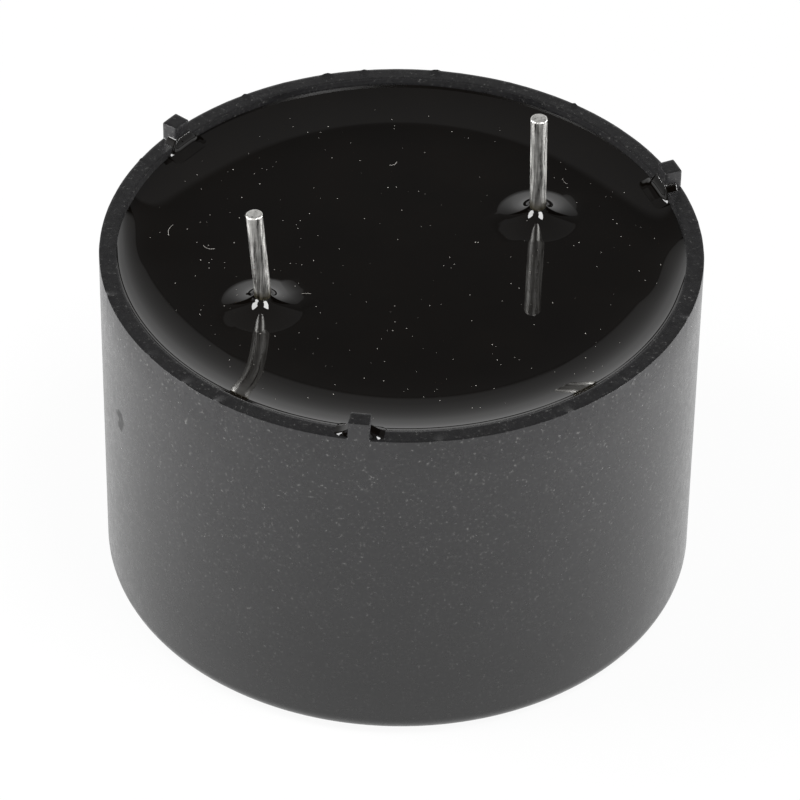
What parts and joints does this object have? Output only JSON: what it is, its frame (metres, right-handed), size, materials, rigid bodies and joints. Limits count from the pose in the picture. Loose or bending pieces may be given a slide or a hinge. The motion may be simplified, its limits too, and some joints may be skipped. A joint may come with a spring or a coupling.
{
  "type": "piezo buzzer",
  "caption": "Round potted piezo buzzer for a circuit board: black moulded case with a sound hole, filled with glossy resin, with wire pins and standoff nubs on the rim.",
  "frame": {"origin": "on the case's axis, in the plane of the sound face that the buzzer stands on", "axes": "+Z along the case's axis from the sound face towards the pins; +X to the right and +Y away from the viewer who sees the left pin nearer"},
  "size_m": [0.029, 0.029, 0.0235],
  "materials": {
    "case_plastic": "fine moulded grain, matte black",
    "resin": "glossy black potting resin",
    "tinned_pin": "tinned copper wire, drawn lines, dull shine",
    "solder": "bright solder",
    "brass_plate": "rolled brass",
    "piezo": "fired ceramic",
    "silver": "fired silver film, matte",
    "silicone": "white silicone",
    "ring_plastic": "black moulded plastic",
    "board": "phenolic board",
    "copper": "etched copper foil",
    "ferrite": "grey ferrite",
    "enamel_wire": "enamelled copper winding",
    "component_wire": "tinned wire",
    "resistor_body": "lacquered",
    "transistor_body": "black moulding",
    "lead_red": "insulated wire",
    "lead_black": "insulated wire",
    "lead_blue": "insulated wire"
  },
  "bodies": {
    "root": {"case": "case_plastic", "resin_fill": "resin", "right_pin": "tinned_pin", "left_pin": "tinned_pin", "right_pin_solder": "solder", "left_pin_solder": "solder", "board_solder": "solder", "main_solder": "solder", "feedback_solder": "solder", "plate_solder": "solder", "diaphragm_plate": "brass_plate", "diaphragm_adhesive": "silicone", "piezo_ceramic": "piezo", "main_electrode": "silver", "feedback_electrode": "silver", "spacer_ring": "ring_plastic", "circuit_board": "board", "copper_tracks": "copper", "choke_core": "ferrite", "choke_winding": "enamel_wire", "choke_leads": "component_wire", "bias_resistor": "resistor_body", "feedback_resistor": "resistor_body", "bias_resistor_leads": "component_wire", "feedback_resistor_leads": "component_wire", "transistor": "transistor_body", "transistor_leads": "component_wire", "main_lead": "lead_red", "feedback_lead": "lead_blue", "plate_lead": "lead_black"}
  },
  "joints": []
}
